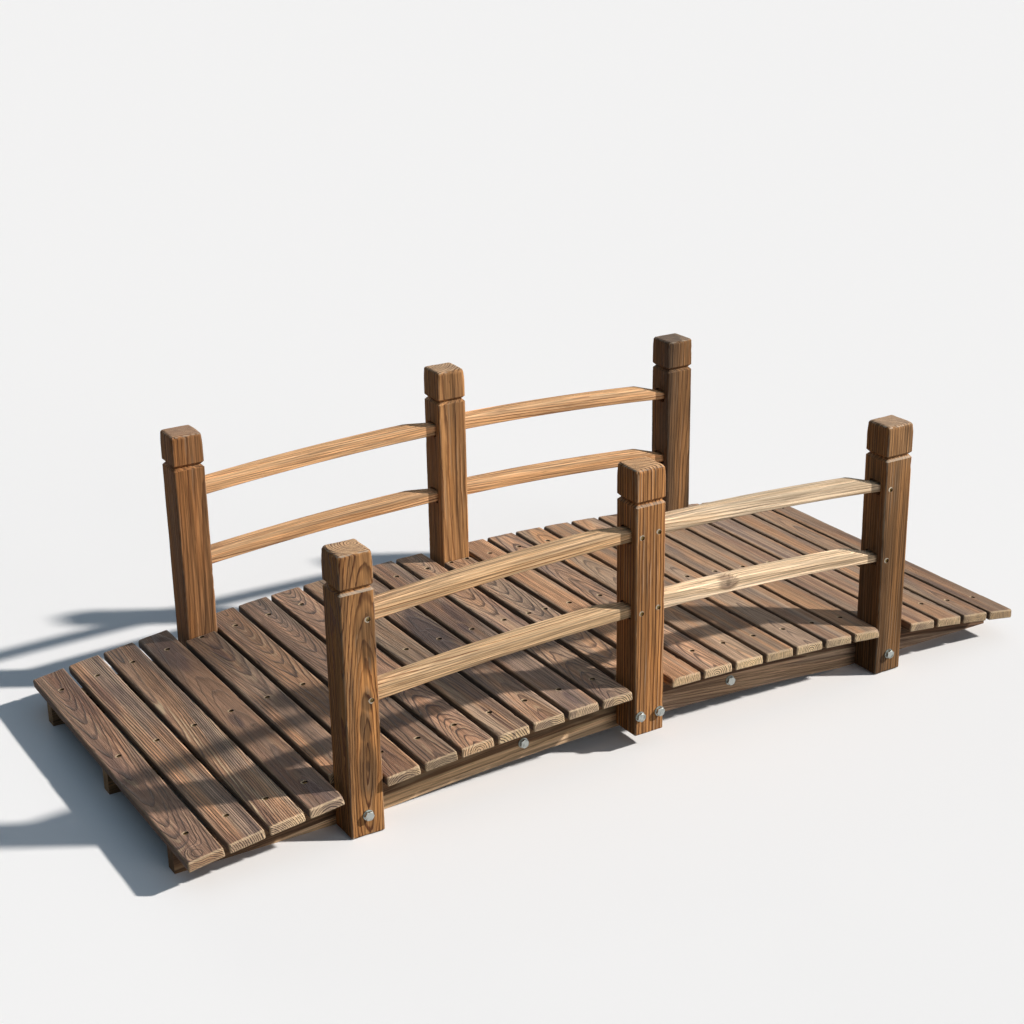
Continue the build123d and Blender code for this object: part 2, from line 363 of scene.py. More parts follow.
timberTones = {  # screen colours, and the char and warm factors that multiply the colour under them
    "umber": {  # carbonised deck, cool brown
        "Early": (170, 140, 117), "Late": (68, 51, 42), "Worn": (206, 178, 142),
        "End Colour": (240, 206, 162), "Char": (0.42, 0.4, 0.48), "Warm": (1.34, 1.06, 0.8),
    },
    "amber": {  # posts, orange brown
        "Early": (168, 122, 78), "Late": (94, 58, 34), "Worn": (190, 178, 160),
        "End Colour": (214, 178, 142), "Char": (0.28, 0.32, 0.42), "Warm": (1.24, 1.06, 0.78),
    },
    "straw": {  # rails, pale tan
        "Early": (222, 184, 142), "Late": (140, 92, 56), "Worn": (232, 206, 170),
        "End Colour": (226, 200, 164), "Char": (0.46, 0.43, 0.44), "Warm": (1.1, 1.0, 0.86),
    },
    "bark": {  # beams, brown with a dark stain
        "Early": (188, 154, 118), "Late": (112, 84, 60), "Worn": (206, 178, 140),
        "End Colour": (200, 168, 130), "Char": (0.26, 0.22, 0.2), "Warm": (1.12, 1.02, 0.84),
    },
}

timberKinds = {  # tone, first seed and the step of the seed from piece to piece
    "deck": ("umber", 0, 3.1),
    "post": ("amber", 40, 2.7),
    "rail": ("straw", 70, 2.3),
    "beam": ("bark", 90, 1.9),
    "cross": ("bark", 110, 1),
}

plainLook = {  # lengths in mm
    "pith": (0, 40),  # across and below the piece's middle
    "lean": (0.0, 0.02),  # how fast the pith moves across and away along the piece
    "bow": 0.0,
    "ring": 2.8,
    "waver": 5.0,
    "tremble": 0.5,  # how ragged the ring lines are
    "late": 0.8,
    # strength of the pale ridge lines: worn wood and painted glint
    "ridge": 0.3,
    "grain": 1.0,  # contrast of the fine fibre
    "char": 0.6,
    "warm": 0.55,
    "wear": 0.6,
    "wearWidth": 3.0,
    "sideWear": 0.3,
    # how much darker the side faces are: darker stain, and painted shade in the gaps between boards
    "sideShade": 0.0,
    "relief": 0.35,
    "depth": (0, 1000),  # where in the piece's thickness its knots and patches lie, and how far they reach
    "darkDepth": None,  # how far down from a beam's upper edge it is darker
    "knots": [],  # (across, along, reach across, reach along, lift, core)
    "patches": [],  # (across, along, reach across, reach along)
    "stain": 1.0,  # how dark the patches are
    "screws": [],  # (across, along) of each screw in the face
    "scar": 4.4,
    "scarShift": (-1.1, 0.8),  # the pale ring lies more to one side of a screw: torn wood, and a painted highlight on that side
    "groove": None,  # along and strength of the pale lower side of a post's groove: cut wood, and a painted highlight on the upward-facing side at the front face
    "shade": (1.0, 1.0, 1.0),
    "fade": None,  # shade at the front end, middle and back end
    "sheen": 0.2,
}
lookSockets = {
    "bow": "Bow", "tremble": "Tremble", "late": "Late Strength", "ridge": "Ridge Strength", "grain": "Grain",
    "char": "Char Amount", "warm": "Warm Amount", "wear": "Wear", "sideWear": "Side Wear",
}
lengthSockets = {"ring": "Ring Width", "waver": "Waver", "wearWidth": "Wear Width"}


def newMaterial(name):
    material = bpy.data.materials.new(name)
    material.use_nodes = True
    return material, material.node_tree, material.node_tree.nodes["Principled BSDF"].inputs


def dress(shader, colour, skin, relief):
    feed(shader["Base Color"], colour)
    feed(shader["Roughness"], skin["Roughness"])
    feed(shader["Normal"], made("ShaderNodeBump", {"Height": skin["Height"], "Distance": relief * mm}))


def paint(piece, material):
    piece.data.materials.clear()
    piece.data.materials.append(material)


def screwMarks(place, look, piece, seed):
    x, y, z = axesOf(place)
    flat = vectorOf(x, y)
    shiftX, shiftY = look["scarShift"]
    centres = [((across + shiftX) * mm, (along + shiftY) * mm, 0.0) for across, along in look["screws"]]
    distance = reduce(smaller, [calc("DISTANCE", flat, centre) for centre in centres])
    depth = minus(piece["half"][2], times(z, float(piece.get("side", 1))))
    feeds = {"Place": place, "Seed": seed, "Distance": distance, "Depth": depth, "Radius": look["scar"] * mm}
    marks = useGroup(place.id_data, scarGroup, feeds)
    return {"Scar": marks["Scar"], "Pit": marks["Pit"]}


# The pale lower side of a post's groove (cut wood, with a painted highlight on the upward-facing side at the
# front face), the edge of a beam's darker upper band, and where a fade starts and ends
grooveSide = {"below": 3.7, "width": (1.5, 2.2), "depth": (6, 5), "slope": (0.35, 0.6)}
heartEdge = {"waver": 9, "soft": 1.5}
fadeStops = {"front": (-260, -60), "back": (0, 200)}


def grooveMark(place, slope, look, piece):
    level, strength = look["groove"]
    x, y, z = axesOf(place)
    away = absolute(minus(y, (level - grooveSide["below"]) * mm))
    inGroove = rest(band(away, *(size * mm for size in grooveSide["width"])))
    # Only the upward-facing side of the groove at the front face is pale: a painted highlight over the cut
    # wood
    atFace = band(z, *(piece["half"][2] - size * mm for size in grooveSide["depth"]))
    facesUp = times(band(slope, *grooveSide["slope"]), strength)
    return reduce(times, (inGroove, facesUp, atFace))


def heartwood(place, look, piece, seed):
    x, y, z = axesOf(place)
    level = plus(minus(z, piece["upperEdge"]), times(times(y, y), piece["bend"]))
    level = timesPlus(cloud(place, (60, 5, 60), seed, 2.0), heartEdge["waver"] * mm, level)
    start = (heartEdge["waver"] / 2 - look["darkDepth"]) * mm
    return band(level, start - heartEdge["soft"] * mm, start + heartEdge["soft"] * mm)


def spotMarks(place, look, piece, seed):  # knots, dark patches and a beam's darker upper band
    tree = place.id_data
    level, thickness = look["depth"]

    def spot(number, across, along, wide, long):
        centre, reach = (across * mm, along * mm, level * mm), (wide * mm, long * mm, thickness * mm)
        return {"Place": place, "Seed": seed + number, "Centre": centre, "Reach": reach}

    lifts, cores, masks = [], [], []
    for number, (*mark, lift, core) in enumerate(look["knots"]):
        knotFeeds = {**spot(number, *mark), "Lift": lift * mm, "Core": float(core)}
        knot = useGroup(tree, knotGroup, knotFeeds)
        lifts.append(knot["Lift"])
        cores.append(knot["Core"])
    for number, mark in enumerate(look["patches"]):
        masks.append(times(useGroup(tree, patchGroup, spot(number, *mark))["Mask"], look["stain"]))
    if look["darkDepth"]:
        masks.append(heartwood(place, look, piece, seed))
    marks = {"Lift": (plus, lifts), "Knot": (larger, cores), "Patch": (larger, masks)}
    return {name: reduce(join, parts) for name, (join, parts) in marks.items() if parts}


def faded(place, colour, fade):
    front, centre, back = ((value, value, value, 1.0) for value in fade)
    along = axesOf(place)["Y"]
    toCentre, toBack = (band(along, low * mm, high * mm) for low, high in fadeStops.values())
    fading = blend(toBack, blend(toCentre, front, centre), back)
    return blend(1.0, colour, fading, "MULTIPLY")


def paintTimber(node, number, piece, look):
    tone, firstSeed, seedStep = timberKinds[node.split("_")[0]]
    seed = float(firstSeed + number * seedStep)
    look = {**plainLook, **look}
    material, tree, shader = newMaterial(node + "Timber")
    source = addNode(tree, "ShaderNodeTexCoord").outputs
    mapping = {"Vector": source["Object"], "Location": piece["middle"], "Rotation": piece["turn"]}
    place = made("ShaderNodeMapping", mapping, vector_type="TEXTURE")
    feeds = {"Place": place, "Seed": seed, "Half Size": piece["half"], "Bend": piece.get("bend", 0.0)}
    feeds["Pith Across"], feeds["Pith Depth"] = (size * mm for size in look["pith"])
    feeds["Lean Across"], feeds["Lean Depth"] = look["lean"]
    feeds.update({socketName: look[key] for key, socketName in lookSockets.items()})
    feeds.update({socketName: look[key] * mm for key, socketName in lengthSockets.items()})
    for part, colour in timberTones[tone].items():
        feeds[part] = (*colour, 1.0) if part in ("Char", "Warm") else tint(*colour)
        if part in ("Early", "Late", "End Colour"):
            feeds[part] = [share * value for share, value in zip((*look["shade"], 1.0), feeds[part])]
    slope = calc("DOT_PRODUCT", source["Normal"], piece["along"])
    feeds["End"] = band(absolute(slope), 0.75, 0.95)
    # the side faces get the darker stain and the painted shade of the gaps
    if look["sideShade"]:
        across = Euler(piece["turn"]).to_matrix() @ Vector((1, 0, 0))
        feeds["Side"] = band(absolute(calc("DOT_PRODUCT", source["Normal"], across)), 0.6, 0.9)
        feeds["Side Shade"] = look["sideShade"]
    feeds.update(spotMarks(place, look, piece, seed))
    if look["screws"]:
        feeds.update(screwMarks(place, look, piece, seed))
    if look["groove"]:
        feeds["Scar"] = larger(feeds["Scar"], grooveMark(place, slope, look, piece))
    timber = useGroup(tree, timberGroup, feeds)
    colour = faded(place, timber["Colour"], look["fade"]) if look["fade"] else timber["Colour"]
    dress(shader, colour, timber, look["relief"])
    shader["Specular IOR Level"].default_value = look["sheen"]
    paint(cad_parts[node], material)
    return material


# Geometry Nodes trees. Their sizes are in metres.
def newGrower(name, material, inputs, build):  # stands on the points, or the mesh, of its object
    def finish(tree, given):
        real = made("GeometryNodeRealizeInstances", {"Geometry": build(tree, given)})
        return {"Geometry": made("GeometryNodeSetMaterial", {"Geometry": real, "Material": given[material]})}

    inputs = {"Geometry": "Geometry", material: "Material", **inputs}
    tree = newTree(name, "GeometryNodeTree", inputs, finish)
    tree.is_modifier = True
    return tree


def booleanShape(operation, *shapes):  # the first shape less the others, or what all of them share
    node = addNode(shapes[0].id_data, "GeometryNodeMeshBoolean", operation=operation, solver="EXACT")
    for number, shape in enumerate(shapes):
        feed(node.inputs[0 if operation == "DIFFERENCE" and number == 0 else 1], shape)
    return node.outputs[0]


def placeObject(name, data):
    thing = bpy.data.objects.new(name, data)
    bpy.context.scene.collection.objects.link(thing)
    return thing


def newPiece(name, points, faces=()):
    mesh = bpy.data.meshes.new(name)
    mesh.from_pydata(points, [], faces)
    return placeObject(name, mesh)


def growPiece(name, tree, base, values, material):  # base is a list of (point, facing) or a mesh
    if isinstance(base, bpy.types.Mesh):
        piece = placeObject(name, base.copy())
    else:
        piece = newPiece(name, [point for point, facing in base])
        facings = piece.data.attributes.new("facing", "FLOAT_VECTOR", "POINT")
        for number, (point, facing) in enumerate(base):
            facings.data[number].vector = facing
    grower = piece.modifiers.new("grower", "NODES")
    grower.node_group = tree
    inputs = [item for item in tree.interface.items_tree if item.in_out == "INPUT"]
    identifiers = {item.name: item.identifier for item in inputs}
    materialInput = next(name for name in ("Timber", "Metal") if name in identifiers)
    for inputName, value in {**values, materialInput: material}.items():
        grower[identifiers[inputName]] = value
    graph = bpy.context.evaluated_depsgraph_get()
    grown = bpy.data.meshes.new_from_object(piece.evaluated_get(graph))
    piece.modifiers.clear()
    piece.data = grown
    if "facing" in grown.attributes:
        grown.attributes.remove(grown.attributes["facing"])
    paint(piece, material)
    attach(piece, "root")
    return piece


# A worn block has uneven rounded arrises. X is across it, Y along it and Z out of its face.
blockInputs = {
    "Half Size": (0.027, 0.335, 0.0075),
    "Lines": (11.0, 97.0, 8.0),
    "Arris Lines": 3.0,
    "Radius": 0.0028,
    "End Radius": 0.0036,
    "Square Foot": 0.0,
    "Chip": 0.02,
    "Under": 0.45,
    "End Roughness": 0.0004,
    "Broken Place": (0.0, 0.0, 0.0),
    "Broken Reach": 0.009,
    "Broken Depth": 0.0,
    "Seed": 0.0,
}
placedInputs = {**blockInputs, "Middle": (0.0, 0.0, 0.0), "Turn": (0.0, 0.0, 0.0)}


def wornBlock(tree, given):
    half, seed = given["Half Size"], given["Seed"]
    lines = {f"Vertices {axis}": count for axis, count in zip("XYZ", axesOf(given["Lines"]))}
    cube = made("GeometryNodeMeshCube", {"Size": times(half, (2.0,) * 3), **lines})
    start = addNode(tree, "GeometryNodeInputPosition").outputs[0]

    # Some lines of faces move to each arris
    share = divided(absolute(start), half)
    intervals = minus(given["Lines"], one)
    turning = minus(one, divided(times(given["Arris Lines"], 2.0), intervals))
    arris = divided(times(given["End Radius"], 1.25), half)

    def stretch(low, high, toHigh):
        feeds = {"Vector": share, "From Min": low, "From Max": high, "To Min": zero, "To Max": toHigh}
        return addNode(tree, "ShaderNodeMapRange", feeds, data_type="FLOAT_VECTOR").outputs["Vector"]

    inner = stretch(zero, turning, minus(one, arris))
    share = plus(inner, stretch(turning, one, arris))
    place = times(times(share, half), calc("SIGN", start))

    # The radius swells along each arris, grows at the ends and opens into chips
    x, y, z = axesOf(place)
    halfX, halfY, halfZ = axesOf(half)
    toEnd = minus(halfY, absolute(y))
    nearEnd = rest(band(toEnd, times(given["End Radius"], 1.1), times(given["End Radius"], 3.3)))
    nearEnd = times(nearEnd, rest(times(calc("LESS_THAN", y, 0.0), given["Square Foot"])))
    slow = cloud(place, (33, 17, 33), seed, 1.0)
    quick = cloud(place, (170, 60, 170), seed, 1.0)
    radius = timesPlus(minus(given["End Radius"], given["Radius"]), nearEnd, given["Radius"])
    radius = times(timesPlus(slow, 1.4, 0.3), radius)
    radius = timesPlus(larger(minus(quick, 0.6), 0.0), given["Chip"], radius)
    radius = times(radius, larger(calc("GREATER_THAN", z, 0.0), given["Under"]))
    away = divided(calc("DISTANCE", place, given["Broken Place"]), given["Broken Reach"])
    broken = calc("EXPONENT", times(times(away, away), -1.0))
    broken = times(broken, timesPlus(quick, 1.6, 0.2))
    radius = timesPlus(broken, given["Broken Depth"], radius)
    radius = smaller(radius, times(halfZ, 0.94))

    core = minus(half, radius)
    held = larger(place, times(core, (-1.0,) * 3))
    held = smaller(held, core)
    out = scaledBy(calc("NORMALIZE", minus(place, held)), radius)
    rough = times(cloud(place, (450, 450, 450), seed, 1.0), calc("LESS_THAN", toEnd, 0.02 * mm))
    rough = times(rough, times(given["End Roughness"], calc("SIGN", y)))
    place = minus(plus(held, out), vectorOf(y=rough))
    return {"Geometry": made("GeometryNodeSetPosition", {"Geometry": cube, "Position": place})}


def softenRounds(shape):  # smooth on the rounded arrises, flat on the sawn faces
    tree = shape.id_data
    normal = absolute(addNode(tree, "GeometryNodeInputNormal").outputs[0])
    rounded = calc("LESS_THAN", reduce(larger, axesOf(normal)), 0.997)
    angle = addNode(tree, "GeometryNodeInputMeshEdgeAngle").outputs["Unsigned Angle"]
    for domain, smooth in (("FACE", rounded), ("EDGE", calc("LESS_THAN", angle, 0.7))):
        feeds = {"Geometry": shape, "Shade Smooth": smooth}
        shape = made("GeometryNodeSetShadeSmooth", feeds, domain=domain)
    return shape


blockTree = newTree("wornBlock", "GeometryNodeTree", blockInputs, wornBlock)


def wornBlank(tree, given):
    feeds = {name: given[name] for name in blockInputs}
    return addNode(tree, "GeometryNodeGroup", feeds, node_tree=blockTree).outputs[0]


def placeTimber(given, shape):
    feeds = {"Geometry": shape, "Translation": given["Middle"], "Rotation": given["Turn"]}
    return made("GeometryNodeTransform", feeds)


def wornBoard(tree, given):  # stands on the points where its screws go
    depth = times(given["Recess Depth"], 2.0)
    drillFeeds = {"Vertices": 16, "Radius": given["Recess Radius"], "Depth": depth}
    drill = made("GeometryNodeMeshCylinder", drillFeeds)
    drills = made("GeometryNodeInstanceOnPoints", {"Points": given["Geometry"], "Instance": drill})
    drills = made("GeometryNodeRealizeInstances", {"Geometry": drills})
    return placeTimber(given, softenRounds(booleanShape("DIFFERENCE", wornBlank(tree, given), drills)))


def wornPost(tree, given):  # keeps the solid's groove, mortises and holes inside a worn block
    solid = made("GeometryNodeMergeByDistance", {"Geometry": given["Geometry"], "Distance": 1e-6})
    return softenRounds(booleanShape("INTERSECT", solid, placeTimber(given, wornBlank(tree, given))))


boardInputs = {**placedInputs, "Recess Radius": 0.0042, "Recess Depth": 0.0036}
boardTree = newGrower("wornBoard", "Timber", boardInputs, wornBoard)
postTree = newGrower("wornPost", "Timber", placedInputs, wornPost)
print("worn timber trees built")

# Deck boards, numbered from the left end
boardShape = {
    "half": (27.0, 335.0, 7.5),
    "screwRow": 264.4,
    "twin": 16.0,  # the two screws of each row in the middle board
    "twinBoard": 13,
    "broken": {4: (27, -335, 3), 9: (-27, -335, 4), 14: (-27, -335, 9), 20: (27, -335, 3)},  # corner, depth
}
deckLook = dict(wearWidth=3.5, sideShade=0.65, relief=0.7, late=0.9, char=0.7, warm=0.8, sheen=0.45)
boardLooks = {
    1: dict(pith=(-8, 22), lean=(0.02, -0.05), warm=0.55, knots=[(-8, -318, 14, 24, 10, 0)],
        shade=(0.72, 0.62, 0.58), fade=(1.1, 1.0, 0.9)),
    2: dict(pith=(-56, 22), ring=3.2, late=1.0, ridge=0.6, warm=0.9, patches=[(-16, 190, 9, 110)],
        shade=(0.94, 0.92, 0.92), fade=(1.2, 1.1, 1.0)),
    3: dict(pith=(-24, 12), lean=(0.04, -0.02), late=1.0, ridge=0.9, shade=(0.88, 0.88, 0.88),
        fade=(1.45, 1.0, 0.65)),
    4: dict(pith=(4, 34), lean=(0.0, 0.04), ring=4.0, late=0.4, ridge=0.1, grain=0.6,
        knots=[(9, -64, 5, 7, 3, 1)], patches=[(-2, 250, 26, 100), (-6, -34, 9, 34), (0, -280, 14, 34)],
        shade=(0.66, 0.66, 0.7), fade=(1.3, 0.95, 0.45)),
    5: dict(pith=(8, 34), lean=(0.0, -0.03), bow=0.1, ring=3.4, late=0.7, warm=0.9,
        patches=[(1, 182, 8, 60)], shade=(0.66, 0.62, 0.6), fade=(1.4, 1.0, 0.5)),
    6: dict(pith=(3, 24), lean=(0.0, -0.04), bow=0.13, ring=3.4, late=0.9, shade=(0.64, 0.63, 0.62),
        fade=(1.25, 1.0, 0.85)),
    7: dict(pith=(2, 27), lean=(0.0, -0.05), bow=0.12, ring=2.4, char=0.3, warm=0.55,
        shade=(0.56, 0.56, 0.58)),
    8: dict(pith=(0, 40), lean=(0.0, 0.01), bow=0.28, ring=3.6, late=1.0, char=0.2, warm=0.5,
        shade=(0.92, 0.84, 0.8), fade=(1.15, 1.0, 0.95)),
    9: dict(pith=(-34, 40), lean=(0.0, 0.05), ring=4.4, late=0.45, patches=[(0, -290, 6, 60)],
        shade=(0.84, 0.84, 0.8), fade=(1.3, 0.7, 0.8)),
    10: dict(pith=(3, 34), lean=(0.0, 0.05), late=0.5, knots=[(-7, 36, 6, 7, 4, 0.8)],
        patches=[(0, 34, 40, 100), (8, 60, 20, 120)], shade=(0.8, 0.8, 0.8), fade=(1.25, 0.5, 0.8)),
    11: dict(pith=(30, 20), late=0.55, knots=[(10, -20, 7, 12, 4, 0.4)],
        patches=[(6, 70, 16, 60), (-8, 10, 9, 30), (2, -300, 9, 34)], shade=(0.84, 0.84, 0.86),
        fade=(1.2, 0.62, 0.85)),
    12: dict(pith=(0, 36), lean=(0.0, -0.03), bow=0.3, ring=3.4, warm=0.55, shade=(1.12, 1.1, 1.06)),
    13: dict(pith=(-2, 30), lean=(0.0, -0.09), ring=3.6, char=0.3, warm=0.7, shade=(1.0, 1.0, 0.96),
        fade=(1.25, 1.0, 1.0)),
    14: dict(pith=(52, 18), lean=(0.01, 0.02), ridge=0.6, char=0.2, shade=(1.1, 1.08, 1.02)),
    15: dict(pith=(-2, 26), lean=(0.0, 0.06), ring=3.4, char=0.4, warm=0.6, shade=(0.96, 0.96, 0.96),
        fade=(1.2, 1.0, 1.0)),
    16: dict(pith=(4, 24), lean=(0.0, 0.06), late=0.7, grain=0.6, char=0.3, warm=1.0,
        shade=(1.1, 1.1, 1.02), fade=(1.25, 1.0, 1.0)),
    17: dict(pith=(-60, 20), ring=2.4, late=0.5, ridge=0.2, char=0.4, warm=1.0, shade=(1.04, 1.04, 0.98)),
    18: dict(pith=(2, 24), lean=(0.0, 0.06), ring=3.2, late=0.6, char=0.4, shade=(1.1, 1.12, 1.08),
        fade=(1.1, 1.0, 1.0)),
    19: dict(pith=(50, 20), lean=(-0.02, 0.0), late=0.45, ridge=0.2, char=0.5, shade=(0.96, 1.0, 1.0)),
    20: dict(pith=(-50, 24), late=0.4, char=0.3, shade=(1.04, 1.04, 0.98)),
    21: dict(pith=(46, 20), late=0.45, warm=0.55, shade=(0.94, 0.94, 0.9)),
    22: dict(pith=(40, 24), lean=(0.0, -0.02), late=0.45, shade=(0.94, 0.96, 0.96)),
    23: dict(pith=(-50, 24), lean=(0.01, 0.0), late=0.4, warm=0.9, shade=(0.96, 0.96, 0.92)),
    24: dict(pith=(4, 24), lean=(0.0, 0.05), late=0.5, shade=(0.8, 0.78, 0.72)),
    25: dict(pith=(-40, 20), late=0.5, shade=(0.74, 0.7, 0.64)),
}
for number in range(17, 26):
    boardLooks[number]["grain"] = 0.5


def screwSpots(number):
    halves = (-boardShape["twin"], boardShape["twin"]) if number == boardShape["twinBoard"] else (0.0,)
    rows = (-boardShape["screwRow"], 0.0, boardShape["screwRow"])
    return [(across, along) for across in halves for along in rows]


def boardPiece(node):
    middle, size = middleAndSize(node)
    angle = math.atan2(middle.x, middle.z - archCentre.z)
    half = (boardShape["half"][0] * mm, size.y / 2, boardShape["half"][2] * mm)
    return {"middle": middle, "turn": (0.0, angle, 0.0), "half": half, "along": (0, 1, 0)}


for number, look in boardLooks.items():
    node = f"deck_board_{number:02d}"
    piece = boardPiece(node)
    look = {**deckLook, **look, "screws": screwSpots(number)}
    timber = paintTimber(node, number, piece, look)
    values = {"Half Size": piece["half"], "Middle": piece["middle"], "Turn": piece["turn"]}
    values["Seed"] = float(number)
    top = piece["half"][2]
    if number in boardShape["broken"]:
        across, along, depth = boardShape["broken"][number]
        values["Broken Place"] = (across * mm, along * mm, top)
        values["Broken Depth"] = depth * mm
    spots = [(Vector((across * mm, along * mm, top)), Vector((0, 0, 1))) for across, along in look["screws"]]
    board = growPiece(f"board{number:02d}", boardTree, spots, values, timber)
    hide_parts(node)
print("deck boards made")

# Posts, and the screws that pin the rails into them
postShape = {
    "firstSeed": 50.0,
    "inside": 0.02,  # how far a worn block stays inside the solid
    "grooveBelowTop": 54.5,
    "screwFromEnd": 9.5,  # from a rail's end to its screw
    "endReach": 21.5,  # the part of a rail whose height its screw is centred in
    "Radius": 0.003,
    "End Radius": 0.006,
    "Square Foot": 1.0,
    "Chip": 0.024,
    "Under": 1.0,
    "End Roughness": 0.0006,
    "Lines": (17.0, 67.0, 17.0),
    "Arris Lines": 5.0,
}
plainPost = dict(char=0.35, ridge=0.12, relief=0.25, scar=4.0)
postLooks = {  # the front left pith comes out of the face at the eye, so the rings rise from it as flames
    "front_left": dict(pith=(7, -15.3), lean=(0.03, 0.11), ring=4.2, waver=1.0, tremble=1.1, late=1.3,
        ridge=0.1, grain=0.8, char=0.45, groove=0.6, knots=[(4, -108, 9, 24, 0, 0.8)],
        patches=[(13, 88, 21, 58), (8, -6, 11, 24), (2, -46, 14, 34), (3, -108, 20, 66)], stain=0.8,
        shade=(1.1, 1.06, 1.0)),
    "front_middle": dict(pith=(-42, -34), lean=(0.01, 0.0), ring=6.0, late=1.3, ridge=0.3, groove=0.4,
        shade=(1.3, 1.18, 1.02)),
    "front_right": dict(pith=(-50, -40), lean=(0.02, 0.0), ring=5.2, groove=0.3, shade=(0.46, 0.48, 0.52),
        fade=(0.95, 0.95, 2.05)),
    "back_left": dict(pith=(40, 60), ring=4.0, shade=(0.74, 0.7, 0.72)),
    "back_middle": dict(pith=(-40, 50), ring=5.0),
    "back_right": dict(pith=(40, 40), lean=(0.0, 0.03), ring=3.6, char=0.6, shade=(0.54, 0.58, 0.66)),
}


def railScrewSpots(postName):  # each rail end's screw, as (world x, world z)
    spots = []
    low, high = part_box("post_" + postName)
    for node in nodesNamed("rail_" + postName.split("_")[0]):
        railLow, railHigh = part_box(node)
        places = [vertex.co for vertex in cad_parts[node].data.vertices]
        for end, inward in ((railLow.x, 1), (railHigh.x, -1)):
            if low.x < end < high.x:
                reach = postShape["endReach"] * mm
                heights = [place.z for place in places if abs(place.x - end) < reach]
                x = end + inward * postShape["screwFromEnd"] * mm
                spots.append((x, (min(heights) + max(heights)) / 2))
    return spots


def socketValues(shape):  # what a piece's dictionary holds for its tree
    return {name: value for name, value in shape.items() if name[0].isupper()}


for postNumber, (postName, look) in enumerate(postLooks.items()):
    node = "post_" + postName
    middle, size = middleAndSize(node)
    side = 1 if postName.startswith("front") else -1
    screws = [((x - middle.x) / mm, (z - middle.z) / mm) for x, z in railScrewSpots(postName)]
    half = size.x / 2, size.z / 2, size.y / 2
    turn = (math.pi / 2, 0.0, 0.0)
    piece = {"middle": middle, "turn": turn, "half": half, "along": (0, 0, 1), "side": side}
    look = {**plainPost, **look, "screws": screws}
    if "groove" in look:
        look["groove"] = (half[1] / mm - postShape["grooveBelowTop"], look["groove"])
    timber = paintTimber(node, postNumber, piece, look)
    values = {**socketValues(postShape), "Middle": middle, "Turn": turn}
    values["Seed"] = postShape["firstSeed"] + postNumber
    values["Half Size"] = [length - postShape["inside"] * mm for length in half]
    name = "worn" + postName.title().replace("_", "")
    post = growPiece(name, postTree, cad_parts[node].data, values, timber)
    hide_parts(node)
print("posts made")

# Rails and beams lie along X, with the turn of the arch at their middle
plainRail = dict(ring=3.4, late=0.95, char=0.1, relief=0.25, wearWidth=2.0, waver=2.0, depth=(4, 8))
backShade = (0.96, 0.84, 0.74)
railLooks = {
    "front_left_upper": dict(pith=(50, 30), shade=(0.9, 0.88, 0.86)),
    "front_left_lower": dict(pith=(30, 60), lean=(0.01, 0.02), shade=(1.0, 1.0, 0.98)),
    "front_right_upper": dict(pith=(60, 40), lean=(0.0, 0.03), late=0.7, shade=(0.94, 1.08, 1.3)),
    "front_right_lower": dict(pith=(40, 60), late=0.7, depth=(10, 13),
        knots=[(14, -87, 30, 14, 11, 0.7), (14, -112, 20, 30, 6, 0)], patches=[(14, -87, 30, 24)],
        shade=(1.16, 1.34, 1.62)),
    "back_left_upper": dict(pith=(30, 50), lean=(0.02, 0.02), shade=backShade),
    "back_left_lower": dict(pith=(50, 30), shade=backShade),
    "back_right_upper": dict(pith=(-40, 40), shade=backShade),
    "back_right_lower": dict(pith=(30, 40), shade=backShade),
}
railShape = {"halfWidth": 14, "halfHeight": 11.5, "aboveDeck": 200}
beamShape = {"halfWidth": 11, "belowDeck": 50, "upperEdge": 15}
plainBeam = dict(pith=(70, 10), lean=(0.0, 0.03), ring=3.6, relief=0.25, wear=0.0, char=0.4)
beamLooks = {
    "front_left": dict(pith=(70, 10), late=0.6, char=0.1, darkDepth=53, shade=(1.45, 1.5, 1.6)),
    "front_right": dict(pith=(16, 8), lean=(0.0, 0.05), ring=5.0, char=0.3, darkDepth=40,
        shade=(1.1, 1.15, 1.4)),
}
crossHalf = (20, 22.5)  # width, height
plainCross = dict(pith=(30, 60), ring=3.4, wear=0.2, char=0.5)


def archPiece(node, halfWidth, halfHeight, radius):
    middle, size = middleAndSize(node)
    tilt = math.atan2(middle.x, middle.z - archCentre.z)
    turn = (Euler((0, tilt, 0)).to_matrix() @ Euler((0, 0, -math.pi / 2)).to_matrix()).to_euler()
    half = (halfWidth, size.x / 2, halfHeight)
    return {"middle": middle, "turn": turn, "half": half, "along": (1, 0, 0), "bend": 1 / (2 * radius)}


for railNumber, (railName, look) in enumerate(railLooks.items()):
    halfWidth, halfHeight, above = (length * mm for length in railShape.values())
    piece = archPiece("rail_" + railName, halfWidth, halfHeight, archRadius + above)
    paintTimber("rail_" + railName, railNumber, piece, {**plainRail, **look})

for beamNumber, node in enumerate(nodesNamed("beam")):
    piece = archPiece(node, beamShape["halfWidth"] * mm, 1.0, archRadius - beamShape["belowDeck"] * mm)
    reach = (Vector((piece["middle"].x, 0, piece["middle"].z)) - archCentre).length
    piece["upperEdge"] = archRadius - beamShape["upperEdge"] * mm - reach
    look = beamLooks.get(node.removeprefix("beam_"), {})
    paintTimber(node, beamNumber, piece, {**plainBeam, **look})

for crossNumber, node in enumerate(nodesNamed("cross")):
    middle, size = middleAndSize(node)
    half = (crossHalf[0] * mm, size.y / 2, crossHalf[1] * mm)
    piece = {"middle": middle, "turn": zero, "half": half, "along": (0, 1, 0)}
    paintTimber(node, crossNumber, piece, plainCross)
print("rails, beams and cross members painted")

